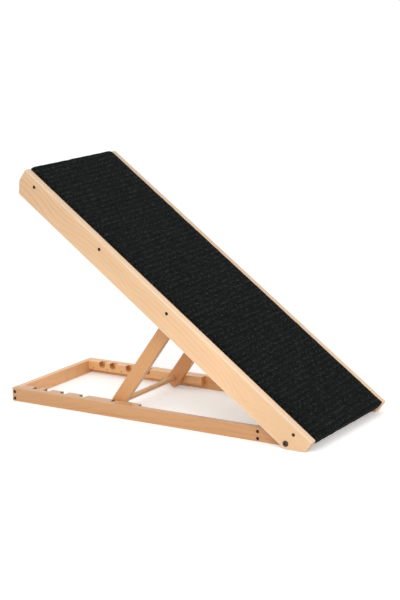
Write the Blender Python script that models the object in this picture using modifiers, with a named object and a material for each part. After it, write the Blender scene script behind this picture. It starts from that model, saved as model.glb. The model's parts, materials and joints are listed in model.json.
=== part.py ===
"""Folding pet ramp.

A carpeted deck turns on two bolts at the foot of a low base frame. A leg frame is hinged under
the deck. It stands square to the deck, and its rod drops into one of five notches on each side
of the base: four ramp heights, and one that holds the rod when the ramp is folded flat.
X runs from the rear of the base to the foot of the ramp, Y across it and Z up, in metres.
"""

import math

import bmesh
import bpy
from mathutils import Matrix, Vector

# Clearance between pieces that touch, and how far a cutter runs past the wood it opens
GAP = 0.0003
OVERRUN = 0.002
WELD_DISTANCE = 0.00001

# Deck: side rails, battens across them, a panel flush with the rails and a carpet mat over it
DECK_LENGTH = 1.0
DECK_WIDTH = 0.394
RAIL_DEPTH = 0.0655
RAIL_THICK = 0.0215
RAIL_EDGE_RADIUS = 0.003
RAIL_TOP_CUT_LENGTH = 0.018
RAIL_TOP_CUT_DEPTH = 0.0305
BATTEN_WIDTH = 0.036
BATTEN_THICK = 0.016
BATTEN_EDGE_RADIUS = 0.001
FOOT_BATTEN_FROM_FOOT = 0.047
LEG_BATTEN_FROM_FOOT = 0.4753
MIDDLE_BATTEN_FROM_FOOT = 0.7143
TOP_BATTEN_FROM_FOOT = 0.953
PANEL_THICK = 0.011
MAT_THICK = 0.004
MAT_FLAP = 0.024
MAT_BEND_RADIUS = 0.0025

# Foot pivot: its place in the deck rail and above the floor, and its bolt
PIVOT_FROM_FOOT = 0.0495
PIVOT_FROM_RAIL_EDGE = 0.0142
PIVOT_HEIGHT = 0.0144
DECK_SIDE_CLEARANCE = 0.001
BOLT_RADIUS = 0.003
BOLT_HEAD_RADIUS = 0.0072
BOLT_HEAD_HEIGHT = 0.002
BOLT_HEAD_CROWN_RADIUS = 0.0058
BOLT_HEAD_RIM = 0.001
NUT_RADIUS = 0.0058
NUT_HEIGHT = 0.005

# Base frame: two side rails, a rear and a front rail, and a notched rack inside each side rail
BASE_REAR_TO_PIVOT = 0.827
BASE_HEIGHT = 0.0355
BASE_RAIL_THICK = 0.016
BASE_EDGE_RADIUS = 0.001
FRONT_RAIL_FROM_PIVOT = 0.0886
RACK_LENGTH = 0.368
RACK_THICK = 0.017
RACK_ABOVE_FLOOR = 0.0125
NOTCH_RADIUS = 0.0095
NOTCH_DEPTH = 0.016

# Heights of the ramp's top edge above the floor, one for each notch; the first is the rest pose
RAMP_HEIGHTS = (0.616, 0.505, 0.405, 0.27)

# Leg frame: two legs on hinges, and the rod through their lower ends
LEG_WIDTH = 0.035
LEG_THICK = 0.0165
LEG_SIDE_CLEARANCE = 0.0008
LEG_BELOW_ROD = 0.022
LEG_END_RADIUS = 0.007
LEG_EDGE_RADIUS = 0.001
ROD_RADIUS = 0.007

# Hinges: a leaf on the leg batten, a leaf on the leg, and a pin in their knuckles
HINGE_AXIS_OFFSET = 0.0023
HINGE_PIN_RADIUS = 0.0009
LEAF_THICK = 0.0012
LEG_LEAF_LENGTH = 0.030
LEG_LEAF_SCREWS = (0.009, 0.0225)
BATTEN_LEAF_MARGIN = 0.001
KNUCKLES = 3

# Wood screws, hinge screws and nails
SCREW_HEAD_RADIUS = 0.0042
SCREW_RADIUS = 0.0021
SCREW_HEAD_HEIGHT = 0.0025
SCREW_LENGTH = 0.045
HEAD_CONE_SLOPE = 0.5
BASE_SCREW_LENGTH = 0.040
BASE_SCREW_HEIGHTS = {"lower": 0.0073, "upper": 0.0248}
HINGE_SCREW_HEAD_RADIUS = 0.0024
HINGE_SCREW_RADIUS = 0.0012
HINGE_SCREW_HEAD_HEIGHT = 0.001
HINGE_SCREW_CROWN_RADIUS = 0.0019
HINGE_SCREW_RIM = 0.0005
HINGE_SCREW_LENGTH = 0.0125
HINGE_SCREW_EDGE = 0.0038
NAIL_HEAD_RADIUS = 0.0013
NAIL_RADIUS = 0.0009
NAIL_HEAD_HEIGHT = 0.0008
NAIL_LENGTH = 0.027
NAIL_BELOW_NOTCH = 0.0019
NAILS_FROM_REAR = (0.033, 0.079, 0.126, 0.262)

# Facets around the round pieces, and steps in the rounded corners
ROUND_SIDES = 16
ROD_SIDES = 24
NAIL_SIDES = 12
NOTCH_SIDES = 12
NUT_SIDES = 6
MAT_BEND_STEPS = 3
LEG_END_STEPS = 5
RAIL_END_STEPS = 6

# Angles in degrees: the least corner that is rounded off, and the least that is shaded sharp
ROUNDED_ANGLE = 50
SHARP_ANGLE = 35

# Colours as red, green, blue, then roughness and metallic
FINISHES = {
    "deck_wood": ((0.79, 0.55, 0.33), 0.45, 0.0),
    "base_wood": ((0.66, 0.40, 0.20), 0.5, 0.0),
    "leg_wood": ((0.62, 0.36, 0.17), 0.5, 0.0),
    "panel_wood": ((0.60, 0.42, 0.25), 0.6, 0.0),
    "carpet": ((0.012, 0.013, 0.013), 0.95, 0.0),
    "dark_steel": ((0.10, 0.08, 0.07), 0.4, 0.9),
    "zinc_steel": ((0.55, 0.55, 0.56), 0.35, 0.9),
}

SIDES = {"left": -1, "right": 1}

# Heights in the deck's own frame, whose origin is on the pivot and whose Z is square to the deck
rail_low = -PIVOT_FROM_RAIL_EDGE
rail_high = rail_low + RAIL_DEPTH
panel_high = rail_high
panel_low = panel_high - PANEL_THICK
mat_low = panel_high + GAP
mat_high = mat_low + MAT_THICK
batten_high = panel_low - GAP
batten_low = batten_high - BATTEN_THICK
batten_mid = batten_high - BATTEN_THICK / 2

# Distances along the deck, up the slope from the pivot
deck_foot = -PIVOT_FROM_FOOT
deck_top = deck_foot + DECK_LENGTH
battens = {
    "foot_batten": deck_foot + FOOT_BATTEN_FROM_FOOT,
    "leg_batten": deck_foot + LEG_BATTEN_FROM_FOOT,
    "middle_batten": deck_foot + MIDDLE_BATTEN_FROM_FOOT,
    "top_batten": deck_foot + TOP_BATTEN_FROM_FOOT,
}

# Places across the ramp
rail_y = DECK_WIDTH / 2 - RAIL_THICK / 2
deck_inner = DECK_WIDTH / 2 - RAIL_THICK
base_outer = deck_inner - DECK_SIDE_CLEARANCE
base_inner = base_outer - BASE_RAIL_THICK
base_rail_y = base_outer - BASE_RAIL_THICK / 2
rack_outer = base_inner - GAP
rack_inner = rack_outer - RACK_THICK
leg_outer = rack_inner - LEG_SIDE_CLEARANCE
leg_y = leg_outer - LEG_THICK / 2


def slope_angle(reach, rise, height):
    """Angle that lifts a point, reach along the deck and rise above it, to this height over the pivot."""
    return math.asin(height / math.hypot(reach, rise)) - math.atan2(rise, reach)


rest_angle = slope_angle(deck_top, rail_high, RAMP_HEIGHTS[0] - PIVOT_HEIGHT)

# The rod lies low in its notch, towards the rear of the ramp, or to the front when folded
notch_bottom = BASE_HEIGHT - NOTCH_DEPTH
notch_z = notch_bottom + NOTCH_RADIUS
rod_shift = (NOTCH_RADIUS - ROD_RADIUS - GAP) / math.sqrt(2)
rod_z = notch_z - rod_shift

# The leg hinge: its axis, the legs' middle line, and the rod's distance below the axis
hinge_u = battens["leg_batten"] + BATTEN_WIDTH / 2 + HINGE_AXIS_OFFSET
hinge_v = batten_low - GAP - HINGE_AXIS_OFFSET
leg_mid = HINGE_AXIS_OFFSET + LEG_WIDTH / 2
knuckle_radius = HINGE_AXIS_OFFSET - GAP
leaf_face = knuckle_radius - LEAF_THICK
rod_drop = hinge_v + (
    PIVOT_HEIGHT + math.sin(rest_angle) * (hinge_u - leg_mid) - rod_z
) / math.cos(rest_angle)

# Folded flat, the legs lie under the middle batten with the rod in the rearmost notch
folded_angle = slope_angle(hinge_u + rod_drop, hinge_v - leg_mid, rod_z - PIVOT_HEIGHT)


def rod_from_pivot(angle):
    """Distance from the pivot back to the rod when the deck stands at this angle."""
    hinge_back = hinge_u * math.cos(angle) - hinge_v * math.sin(angle)
    hinge_height = PIVOT_HEIGHT + hinge_u * math.sin(angle) + hinge_v * math.cos(angle)
    leg_reach = math.hypot(rod_drop, leg_mid)
    return hinge_back + math.sqrt(leg_reach ** 2 - (hinge_height - rod_z) ** 2)


set_angles = [slope_angle(deck_top, rail_high, h - PIVOT_HEIGHT) for h in RAMP_HEIGHTS]
folded_rod = (hinge_u + rod_drop) * math.cos(folded_angle) - (hinge_v - leg_mid) * math.sin(
    folded_angle
)
notch_places = [rod_from_pivot(a) - rod_shift for a in set_angles] + [folded_rod + rod_shift]

# The floor under the middle of the whole ramp, up to the carpet's fold at the foot, is the origin
foot_reach = (
    math.cos(rest_angle) * (PIVOT_FROM_FOOT - MAT_BEND_RADIUS)
    + math.sin(rest_angle) * (mat_high - MAT_BEND_RADIUS)
    + MAT_BEND_RADIUS
)
pivot_x = (BASE_REAR_TO_PIVOT - foot_reach) / 2
base_rear = -BASE_REAR_TO_PIVOT


def clear_scene():
    for thing in list(bpy.data.objects):
        bpy.data.objects.remove(thing, do_unlink=True)
    for group in list(bpy.data.collections):
        bpy.data.collections.remove(group)


def make_collection(name):
    group = bpy.data.collections.new(name)
    bpy.context.scene.collection.children.link(group)
    return group


def make_finish(name):
    colour, roughness, metallic = FINISHES[name]
    finish = bpy.data.materials.new(name)
    finish.use_nodes = True
    shader = finish.node_tree.nodes["Principled BSDF"]
    shader.inputs["Base Color"].default_value = (*colour, 1.0)
    shader.inputs["Roughness"].default_value = roughness
    shader.inputs["Metallic"].default_value = metallic
    return finish


def make_empty(name, place, parent=None, angle=0.0):
    empty = bpy.data.objects.new(name, None)
    empty.location = place
    empty.rotation_euler = (0.0, angle, 0.0)
    empty.parent = parent
    parts.objects.link(empty)
    return empty


def evaluated_mesh(thing):
    """The mesh that a curve or a modified object makes, welded; the object itself is removed."""
    bpy.context.scene.collection.objects.link(thing)
    graph = bpy.context.evaluated_depsgraph_get()
    mesh = bpy.data.meshes.new_from_object(thing.evaluated_get(graph))
    bpy.data.objects.remove(thing, do_unlink=True)
    work = bmesh.new()
    work.from_mesh(mesh)
    bmesh.ops.remove_doubles(work, verts=work.verts, dist=WELD_DISTANCE)
    work.to_mesh(mesh)
    work.free()
    return mesh


def prism_mesh(outline, depth):
    """A flat outline in X and Z, depth thick along Y about Y = 0."""
    curve = bpy.data.curves.new("outline", "CURVE")
    curve.dimensions = "2D"
    curve.fill_mode = "BOTH"
    curve.extrude = depth / 2
    line = curve.splines.new("POLY")
    line.points.add(len(outline) - 1)
    for point, (x, z) in zip(line.points, outline):
        point.co = (x, z, 0.0, 1.0)
    line.use_cyclic_u = True
    mesh = evaluated_mesh(bpy.data.objects.new("outline", curve))
    mesh.transform(Matrix.Rotation(math.pi / 2, 4, "X"))
    return mesh


def block_mesh(length, width, height):
    work = bmesh.new()
    bmesh.ops.create_cube(work, size=1.0)
    bmesh.ops.scale(work, vec=(length, width, height), verts=work.verts)
    mesh = bpy.data.meshes.new("block")
    work.to_mesh(mesh)
    work.free()
    return mesh


def turned_mesh(profile, sides, rounded=True):
    """A turned shape about Z from a profile of radius and height, top to bottom."""
    mesh = bpy.data.meshes.new("profile")
    points = [(radius, 0.0, height) for radius, height in profile]
    mesh.from_pydata(points, [(i, i + 1) for i in range(len(points) - 1)], [])
    thing = bpy.data.objects.new("profile", mesh)
    turn = thing.modifiers.new("turn", "SCREW")
    turn.steps = sides
    turn.render_steps = sides
    turn.use_merge_vertices = True
    turn.merge_threshold = WELD_DISTANCE
    turned = evaluated_mesh(thing)
    if rounded:
        turned.shade_smooth()
        turned.set_sharp_from_angle(angle=math.radians(SHARP_ANGLE))
    return turned


def place_piece(name, mesh, finish, parent, place=(0.0, 0.0, 0.0), edge=0.0):
    piece = bpy.data.objects.new(name, mesh)
    mesh.name = name
    piece.data.materials.clear()
    piece.data.materials.append(finishes[finish])
    piece.location = place
    piece.parent = parent
    parts.objects.link(piece)
    if edge:
        rounding = piece.modifiers.new("rounded_edges", "BEVEL")
        rounding.width = edge
        rounding.segments = 2
        rounding.limit_method = "ANGLE"
        rounding.angle_limit = math.radians(ROUNDED_ANGLE)
    return piece


def point_piece(thing, direction):
    """Turns a piece drawn along Z so that its lower end points in this direction."""
    thing.rotation_mode = "QUATERNION"
    thing.rotation_quaternion = Vector((0.0, 0.0, -1.0)).rotation_difference(direction)


def use_cutter(piece, cutter):
    cut = piece.modifiers.new(cutter.name, "BOOLEAN")
    cut.operation = "DIFFERENCE"
    cut.solver = "EXACT"
    cut.object = cutter


def make_cutter(name, mesh, parent, place=(0.0, 0.0, 0.0), pointing=None):
    cutter = bpy.data.objects.new(name, mesh)
    cutter.location = place
    if pointing is not None:
        point_piece(cutter, pointing)
    cutter.parent = parent
    cutter.hide_render = True
    cutter.display_type = "WIRE"
    cutters.objects.link(cutter)
    return cutter


def fastener_profile(head_radius, head_height, radius, length):
    """A head flush with Z = 0, a short cone under it, a shank and a pointed end."""
    neck = head_height + (head_radius - radius) * HEAD_CONE_SLOPE
    return [
        (0.0, 0.0),
        (head_radius, 0.0),
        (head_radius, -head_height),
        (radius, -neck),
        (radius, -(length - radius * 2)),
        (0.0, -length),
    ]


def grown_profile(profile):
    """The same profile with clearance all round, and open at the top."""
    grown = [(0.0, OVERRUN)]
    for radius, height in profile[1:-1]:
        grown.append((radius + GAP, height - GAP if height < 0 else OVERRUN))
    grown.append((0.0, profile[-1][1] - GAP * 2))
    return grown


def drive_fastener(
    name, profile, finish, parent, place, pointing, pieces, sides=ROUND_SIDES, hole=None
):
    """A screw or nail with its head at place, pointing into the pieces, each with its hole."""
    fastener = place_piece(name, turned_mesh(profile, sides), finish, parent, place)
    point_piece(fastener, pointing)
    hole_mesh = turned_mesh(hole or grown_profile(profile), sides, rounded=False)
    cutter = make_cutter("hole_" + name, hole_mesh, parent, place, pointing)
    for piece in pieces:
        use_cutter(piece, cutter)


def arc(centre, radius, start, end, steps):
    """Points along an arc, angles in degrees."""
    points = []
    for i in range(steps + 1):
        angle = math.radians(start + (end - start) * i / steps)
        points.append(
            (centre[0] + radius * math.cos(angle), centre[1] + radius * math.sin(angle))
        )
    return points


def rod_mesh(radius, length, sides=ROD_SIDES):
    """A plain round rod along Z about Z = 0."""
    half = length / 2
    return turned_mesh([(0.0, half), (radius, half), (radius, -half), (0.0, -half)], sides)


def make_deck(deck):
    """Side rails, battens, panel and mat, drawn flat with the slope running along -X."""
    floor_rise = -(PIVOT_HEIGHT - math.sin(rest_angle) * PIVOT_FROM_FOOT) / math.cos(rest_angle)
    floor_start = (math.cos(rest_angle) * rail_low + PIVOT_HEIGHT) / math.sin(rest_angle)
    rail_outline = [
        (-deck_foot, rail_high),
        (-deck_foot, floor_rise),
        (floor_start, rail_low),
        (-deck_top + RAIL_TOP_CUT_LENGTH, rail_low),
        (-deck_top, rail_low + RAIL_TOP_CUT_DEPTH),
        (-deck_top, rail_high),
    ]
    rails = {}
    for side, sign in SIDES.items():
        rails[side] = place_piece(
            "deck_rail_" + side,
            prism_mesh(rail_outline, RAIL_THICK),
            "deck_wood",
            deck,
            (0.0, sign * rail_y, 0.0),
            RAIL_EDGE_RADIUS,
        )
        hole = rod_mesh(BOLT_RADIUS + GAP, RAIL_THICK + 2 * OVERRUN, ROUND_SIDES)
        along = Vector((0.0, sign, 0.0))
        cutter = make_cutter("bolt_hole_" + side, hole, deck, (0.0, sign * rail_y, 0.0), along)
        use_cutter(rails[side], cutter)

    batten_length = 2 * (deck_inner - GAP)
    made = {}
    for name, place in battens.items():
        made[name] = place_piece(
            name,
            block_mesh(BATTEN_WIDTH, batten_length, BATTEN_THICK),
            "base_wood",
            deck,
            (-place, 0.0, batten_mid),
            BATTEN_EDGE_RADIUS,
        )
        profile = fastener_profile(
            SCREW_HEAD_RADIUS, SCREW_HEAD_HEIGHT, SCREW_RADIUS, SCREW_LENGTH
        )
        for side, sign in SIDES.items():
            drive_fastener(
                name + "_screw_" + side,
                profile,
                "dark_steel",
                deck,
                (-place, sign * DECK_WIDTH / 2, batten_mid),
                Vector((0.0, -sign, 0.0)),
                (rails[side], made[name]),
            )

    panel_length = DECK_LENGTH - 2 * (MAT_THICK + GAP)
    place_piece(
        "deck_panel",
        block_mesh(panel_length, batten_length, PANEL_THICK),
        "panel_wood",
        deck,
        (-(deck_foot + deck_top) / 2, 0.0, (panel_low + panel_high) / 2),
    )

    flap_high = panel_low - GAP
    flap_low = flap_high - MAT_THICK
    bend = MAT_BEND_RADIUS
    foot, top = -deck_foot, -deck_top
    mat_outline = (
        arc((foot - bend, mat_high - bend), bend, 90, 0, MAT_BEND_STEPS)
        + arc((foot - bend, flap_low + bend), bend, 0, -90, MAT_BEND_STEPS)
        + [
            (foot - MAT_FLAP, flap_low),
            (foot - MAT_FLAP, flap_high),
            (foot - MAT_THICK, flap_high),
            (foot - MAT_THICK, mat_low),
            (top + MAT_THICK, mat_low),
            (top + MAT_THICK, flap_high),
            (top + MAT_FLAP, flap_high),
            (top + MAT_FLAP, flap_low),
        ]
        + arc((top + bend, flap_low + bend), bend, 270, 180, MAT_BEND_STEPS)
        + arc((top + bend, mat_high - bend), bend, 180, 90, MAT_BEND_STEPS)
    )
    place_piece("carpet_mat", prism_mesh(mat_outline, batten_length), "carpet", deck)
    return made["leg_batten"]


def notch_mesh():
    """A round-bottomed slot, open at the top, about the middle of its round."""
    round_bottom = arc((0.0, 0.0), NOTCH_RADIUS, 180, 360, NOTCH_SIDES)
    open_top = BASE_HEIGHT - notch_z + OVERRUN
    outline = round_bottom + [(NOTCH_RADIUS, open_top), (-NOTCH_RADIUS, open_top)]
    return prism_mesh(outline, RACK_THICK + 2 * OVERRUN)


def make_base(base):
    """Side rails, rear and front rails, notched racks, and the bolts that carry the deck."""
    end_radius = BASE_HEIGHT - PIVOT_HEIGHT
    rail_outline = (
        [(base_rear, 0.0), (end_radius, 0.0)]
        + arc((0.0, PIVOT_HEIGHT), end_radius, 0, 90, RAIL_END_STEPS)
        + [(base_rear, BASE_HEIGHT)]
    )
    rails = {}
    for side, sign in SIDES.items():
        rails[side] = place_piece(
            "base_rail_" + side,
            prism_mesh(rail_outline, BASE_RAIL_THICK),
            "base_wood",
            base,
            (0.0, sign * base_rail_y, 0.0),
            BASE_EDGE_RADIUS,
        )

    cross_places = {
        "rear_rail": base_rear + BASE_RAIL_THICK / 2,
        "front_rail": -FRONT_RAIL_FROM_PIVOT,
    }
    profile = fastener_profile(
        SCREW_HEAD_RADIUS, SCREW_HEAD_HEIGHT, SCREW_RADIUS, BASE_SCREW_LENGTH
    )
    for name, x in cross_places.items():
        cross = place_piece(
            name,
            block_mesh(BASE_RAIL_THICK, 2 * (base_inner - GAP), BASE_HEIGHT),
            "base_wood",
            base,
            (x, 0.0, BASE_HEIGHT / 2),
            BASE_EDGE_RADIUS,
        )
        for side, sign in SIDES.items():
            for level, z in BASE_SCREW_HEIGHTS.items():
                drive_fastener(
                    f"{name}_{level}_screw_{side}",
                    profile,
                    "dark_steel",
                    base,
                    (x, sign * base_outer, z),
                    Vector((0.0, -sign, 0.0)),
                    (rails[side], cross),
                )
    make_racks(base, rails)
    make_pivots(base, rails)


def make_racks(base, rails):
    """A notched strip nailed inside each side rail, from the rear rail forwards."""
    rack_height = BASE_HEIGHT - RACK_ABOVE_FLOOR
    rack_rear = base_rear + BASE_RAIL_THICK + GAP
    nails = fastener_profile(NAIL_HEAD_RADIUS, NAIL_HEAD_HEIGHT, NAIL_RADIUS, NAIL_LENGTH)
    for side, sign in SIDES.items():
        rack_y = sign * (rack_inner + rack_outer) / 2
        rack = place_piece(
            "rack_" + side,
            block_mesh(RACK_LENGTH, RACK_THICK, rack_height),
            "base_wood",
            base,
            (rack_rear + RACK_LENGTH / 2, rack_y, RACK_ABOVE_FLOOR + rack_height / 2),
            BASE_EDGE_RADIUS,
        )
        for number, place in enumerate(notch_places, 1):
            name = f"notch_{number}_{side}"
            use_cutter(rack, make_cutter(name, notch_mesh(), base, (-place, rack_y, notch_z)))
        for number, place in enumerate(NAILS_FROM_REAR, 1):
            drive_fastener(
                f"rack_nail_{number}_{side}",
                nails,
                "zinc_steel",
                base,
                (base_rear + place, sign * rack_inner, notch_bottom - NAIL_BELOW_NOTCH),
                Vector((0.0, sign, 0.0)),
                (rack, rails[side]),
                NAIL_SIDES,
            )


def make_pivots(base, rails):
    """A bolt through each deck rail and base rail, with a nut inside the base."""
    nut_face = base_inner - GAP
    head_face = DECK_WIDTH / 2 + GAP
    bolt_end = nut_face - NUT_HEIGHT - GAP
    head_top = head_face + BOLT_HEAD_HEIGHT
    bolt_profile = [
        (0.0, head_top),
        (BOLT_HEAD_CROWN_RADIUS, head_top),
        (BOLT_HEAD_RADIUS, head_face + BOLT_HEAD_RIM),
        (BOLT_HEAD_RADIUS, head_face),
        (BOLT_RADIUS, head_face),
        (BOLT_RADIUS, bolt_end),
        (0.0, bolt_end),
    ]
    nut_profile = [(0.0, 0.0), (NUT_RADIUS, 0.0), (NUT_RADIUS, -NUT_HEIGHT), (0.0, -NUT_HEIGHT)]
    for side, sign in SIDES.items():
        inward = Vector((0.0, -sign, 0.0))
        bolt = place_piece(
            "pivot_bolt_" + side,
            turned_mesh(bolt_profile, ROD_SIDES),
            "dark_steel",
            base,
            (0.0, 0.0, PIVOT_HEIGHT),
        )
        point_piece(bolt, inward)

        hole = rod_mesh(BOLT_RADIUS + GAP, 2 * (base_outer - bolt_end), ROUND_SIDES)
        cutter = make_cutter(
            "pivot_hole_" + side, hole, base, (0.0, sign * base_outer, PIVOT_HEIGHT), inward
        )
        use_cutter(rails[side], cutter)
        nut = place_piece(
            "pivot_nut_" + side,
            turned_mesh(nut_profile, NUT_SIDES, rounded=False),
            "dark_steel",
            base,
            (0.0, sign * nut_face, PIVOT_HEIGHT),
        )
        point_piece(nut, inward)
        use_cutter(nut, cutter)


def make_legs(legs):
    """Two legs and their rod, drawn about the hinge axis with the legs hanging along -Z."""
    leg_top = HINGE_AXIS_OFFSET
    leg_end = -rod_drop - LEG_BELOW_ROD
    near, far = leg_mid - LEG_WIDTH / 2, leg_mid + LEG_WIDTH / 2
    corner_z = leg_end + LEG_END_RADIUS
    leg_outline = (
        [(far, leg_top), (near, leg_top)]
        + arc((near + LEG_END_RADIUS, corner_z), LEG_END_RADIUS, 180, 270, LEG_END_STEPS)
        + arc((far - LEG_END_RADIUS, corner_z), LEG_END_RADIUS, 270, 360, LEG_END_STEPS)
    )
    across = Vector((0.0, 1.0, 0.0))
    hole = make_cutter(
        "rod_hole",
        rod_mesh(ROD_RADIUS + GAP, 2 * base_inner, ROD_SIDES),
        legs,
        (leg_mid, 0.0, -rod_drop),
        across,
    )
    made = {}
    for side, sign in SIDES.items():
        made[side] = place_piece(
            "leg_" + side,
            prism_mesh(leg_outline, LEG_THICK),
            "leg_wood",
            legs,
            (0.0, sign * leg_y, 0.0),
            LEG_EDGE_RADIUS,
        )
        use_cutter(made[side], hole)
    rod = place_piece(
        "leg_rod",
        rod_mesh(ROD_RADIUS, 2 * (base_inner - GAP)),
        "leg_wood",
        legs,
        (leg_mid, 0.0, -rod_drop),
    )
    rod.rotation_euler = (math.pi / 2, 0.0, 0.0)
    return made


def make_leaf(name, length, outer_knuckles, parent, place, upwards):
    """A leaf rolled round the axis, lying on the wood, with room for the other leaf's knuckles."""
    meeting = math.degrees(math.acos(leaf_face / knuckle_radius))
    outline = [(leaf_face, -length), (knuckle_radius, -length)]
    outline += arc((0.0, 0.0), knuckle_radius, 0, 360 - meeting, ROUND_SIDES)
    mesh = prism_mesh(outline, LEG_THICK)
    if upwards:
        mesh.transform(Matrix.Rotation(math.pi, 4, "Y"))
        mesh.transform(Matrix.Scale(-1.0, 4, (1.0, 0.0, 0.0)))
        mesh.flip_normals()
    leaf = place_piece(name, mesh, "zinc_steel", parent, place)

    split = LEG_THICK / KNUCKLES / 2
    if outer_knuckles:
        gap_width = 2 * split + GAP
        middles = (0.0,)
    else:
        gap_width = LEG_THICK / 2 + OVERRUN - split + GAP / 2
        middle = split - GAP / 2 + gap_width / 2
        middles = (-middle, middle)
    gap_reach = 2 * (knuckle_radius + GAP)
    for number, middle in enumerate(middles, 1):
        gap = block_mesh(gap_reach, gap_width, gap_reach)
        gap_place = Vector(place) + Vector((0.0, middle, 0.0))
        use_cutter(leaf, make_cutter(f"{name}_gap_{number}", gap, parent, gap_place))
    bore = rod_mesh(HINGE_PIN_RADIUS + GAP, LEG_THICK + 2 * OVERRUN, ROUND_SIDES)
    across = Vector((0.0, 1.0, 0.0))
    use_cutter(leaf, make_cutter(name + "_bore", bore, parent, place, across))
    return leaf


def make_hinges(deck, legs, leg_batten, leg_pieces):
    """Butt hinges on the upper faces of the leg batten and the legs, with their screws."""
    head_face = leaf_face - GAP - HINGE_SCREW_HEAD_HEIGHT
    shank_end = -HINGE_SCREW_LENGTH
    profile = [
        (0.0, 0.0),
        (HINGE_SCREW_CROWN_RADIUS, 0.0),
        (HINGE_SCREW_HEAD_RADIUS, -HINGE_SCREW_RIM),
        (HINGE_SCREW_HEAD_RADIUS, -HINGE_SCREW_HEAD_HEIGHT),
        (HINGE_SCREW_RADIUS, -HINGE_SCREW_HEAD_HEIGHT),
        (HINGE_SCREW_RADIUS, shank_end + HINGE_SCREW_RADIUS),
        (0.0, shank_end),
    ]
    hole_radius = HINGE_SCREW_RADIUS + GAP
    hole = [(0.0, 0.0), (hole_radius, 0.0), (hole_radius, shank_end - GAP), (0.0, shank_end - GAP)]
    batten_leaf = batten_high - hinge_v - BATTEN_LEAF_MARGIN
    downslope = Vector((1.0, 0.0, 0.0))
    for side, sign in SIDES.items():
        y = sign * leg_y
        axis_place = (-hinge_u, y, hinge_v)
        upper = make_leaf("hinge_leaf_deck_" + side, batten_leaf, True, deck, axis_place, True)
        lower = make_leaf(
            "hinge_leaf_leg_" + side, LEG_LEAF_LENGTH, False, legs, (0.0, y, 0.0), False
        )
        pin = place_piece(
            "hinge_pin_" + side,
            rod_mesh(HINGE_PIN_RADIUS, LEG_THICK, NAIL_SIDES),
            "zinc_steel",
            deck,
            axis_place,
        )
        pin.rotation_euler = (math.pi / 2, 0.0, 0.0)
        for number, shift in enumerate((-HINGE_SCREW_EDGE, HINGE_SCREW_EDGE), 1):
            drive_fastener(
                f"hinge_deck_screw_{number}_{side}",
                profile,
                "zinc_steel",
                deck,
                (head_face - hinge_u, y + shift, batten_mid),
                downslope,
                (upper, leg_batten),
                NAIL_SIDES,
                hole,
            )
        for number, drop in enumerate(LEG_LEAF_SCREWS, 1):
            drive_fastener(
                f"hinge_leg_screw_{number}_{side}",
                profile,
                "zinc_steel",
                legs,
                (head_face, y, -drop),
                downslope,
                (lower, leg_pieces[side]),
                NAIL_SIDES,
                hole,
            )


clear_scene()
parts = make_collection("folding_pet_ramp")
cutters = make_collection("cutters")
cutters.hide_render = True
finishes = {name: make_finish(name) for name in FINISHES}

base_frame = make_empty("base_frame", (pivot_x, 0.0, 0.0))
deck_frame = make_empty("deck_frame", (pivot_x, 0.0, PIVOT_HEIGHT), angle=rest_angle)
leg_frame = make_empty("leg_frame", (-hinge_u, 0.0, hinge_v), deck_frame)

make_base(base_frame)
deck_leg_batten = make_deck(deck_frame)
deck_legs = make_legs(leg_frame)
make_hinges(deck_frame, leg_frame, deck_leg_batten, deck_legs)
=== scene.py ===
import json
import math
from collections import namedtuple

import bmesh
import bpy
import numpy as np
from mathutils import Matrix, Vector


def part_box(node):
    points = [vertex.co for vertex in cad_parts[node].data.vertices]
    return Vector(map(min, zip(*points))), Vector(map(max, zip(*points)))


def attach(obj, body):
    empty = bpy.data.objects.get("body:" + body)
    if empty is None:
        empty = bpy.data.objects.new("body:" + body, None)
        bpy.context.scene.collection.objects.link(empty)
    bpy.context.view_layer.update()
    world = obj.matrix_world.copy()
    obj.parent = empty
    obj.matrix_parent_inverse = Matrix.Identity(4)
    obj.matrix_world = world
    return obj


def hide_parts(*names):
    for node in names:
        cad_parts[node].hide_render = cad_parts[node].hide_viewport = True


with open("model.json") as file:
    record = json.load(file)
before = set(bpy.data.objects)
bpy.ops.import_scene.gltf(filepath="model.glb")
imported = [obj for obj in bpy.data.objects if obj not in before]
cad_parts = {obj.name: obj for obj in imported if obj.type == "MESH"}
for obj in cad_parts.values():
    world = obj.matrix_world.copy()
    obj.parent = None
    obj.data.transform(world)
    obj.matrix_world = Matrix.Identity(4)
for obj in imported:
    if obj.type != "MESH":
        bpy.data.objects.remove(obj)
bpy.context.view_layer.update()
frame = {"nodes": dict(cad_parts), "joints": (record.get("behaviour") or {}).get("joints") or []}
nodes = frame["nodes"]
scene = bpy.context.scene

joints = {joint["name"]: joint for joint in frame["joints"]}
pivot = Vector(joints["deck_hinge"]["pos_m"])
fold = Vector(joints["leg_fold"]["pos_m"])

# Sizes in metres, as in the CAD.
# The deck's own frame has its origin on the foot pivot, u up the slope and v square to it. The
# pivot itself lies PIVOT_ALONG up the slope from the room's origin.
HINGE_U, HINGE_V = 0.4461, 0.0214
REST_ANGLE = math.atan2(fold.z - pivot.z, pivot.x - fold.x) - math.atan2(HINGE_V, HINGE_U)
UP_SLOPE = Vector((-math.cos(REST_ANGLE), 0.0, math.sin(REST_ANGLE)))
SQUARE = Vector((math.sin(REST_ANGLE), 0.0, math.cos(REST_ANGLE)))
PIVOT_ALONG = UP_SLOPE.dot(pivot)
DECK_FOOT = -0.0495
DECK_LENGTH = 1.0
DECK_INNER = 0.1755
RAIL_HIGH = 0.0513
PANEL_THICK = 0.011
GAP = 0.0003

# The mat: its thickness, its top, the fold under each end of the panel and its bends' radius
MAT_THICK = 0.004
MAT_HIGH = RAIL_HIGH + GAP + MAT_THICK
MAT_FLAP = 0.024
MAT_BEND = 0.0025

# The racks' notches, from the foot pivot, and the height of their round bottoms' middle
NOTCH_PLACES = (0.5166, 0.6154, 0.6756, 0.7285, 0.7638)
NOTCH_RADIUS = 0.0095
NOTCH_MIDDLE = 0.029

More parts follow.
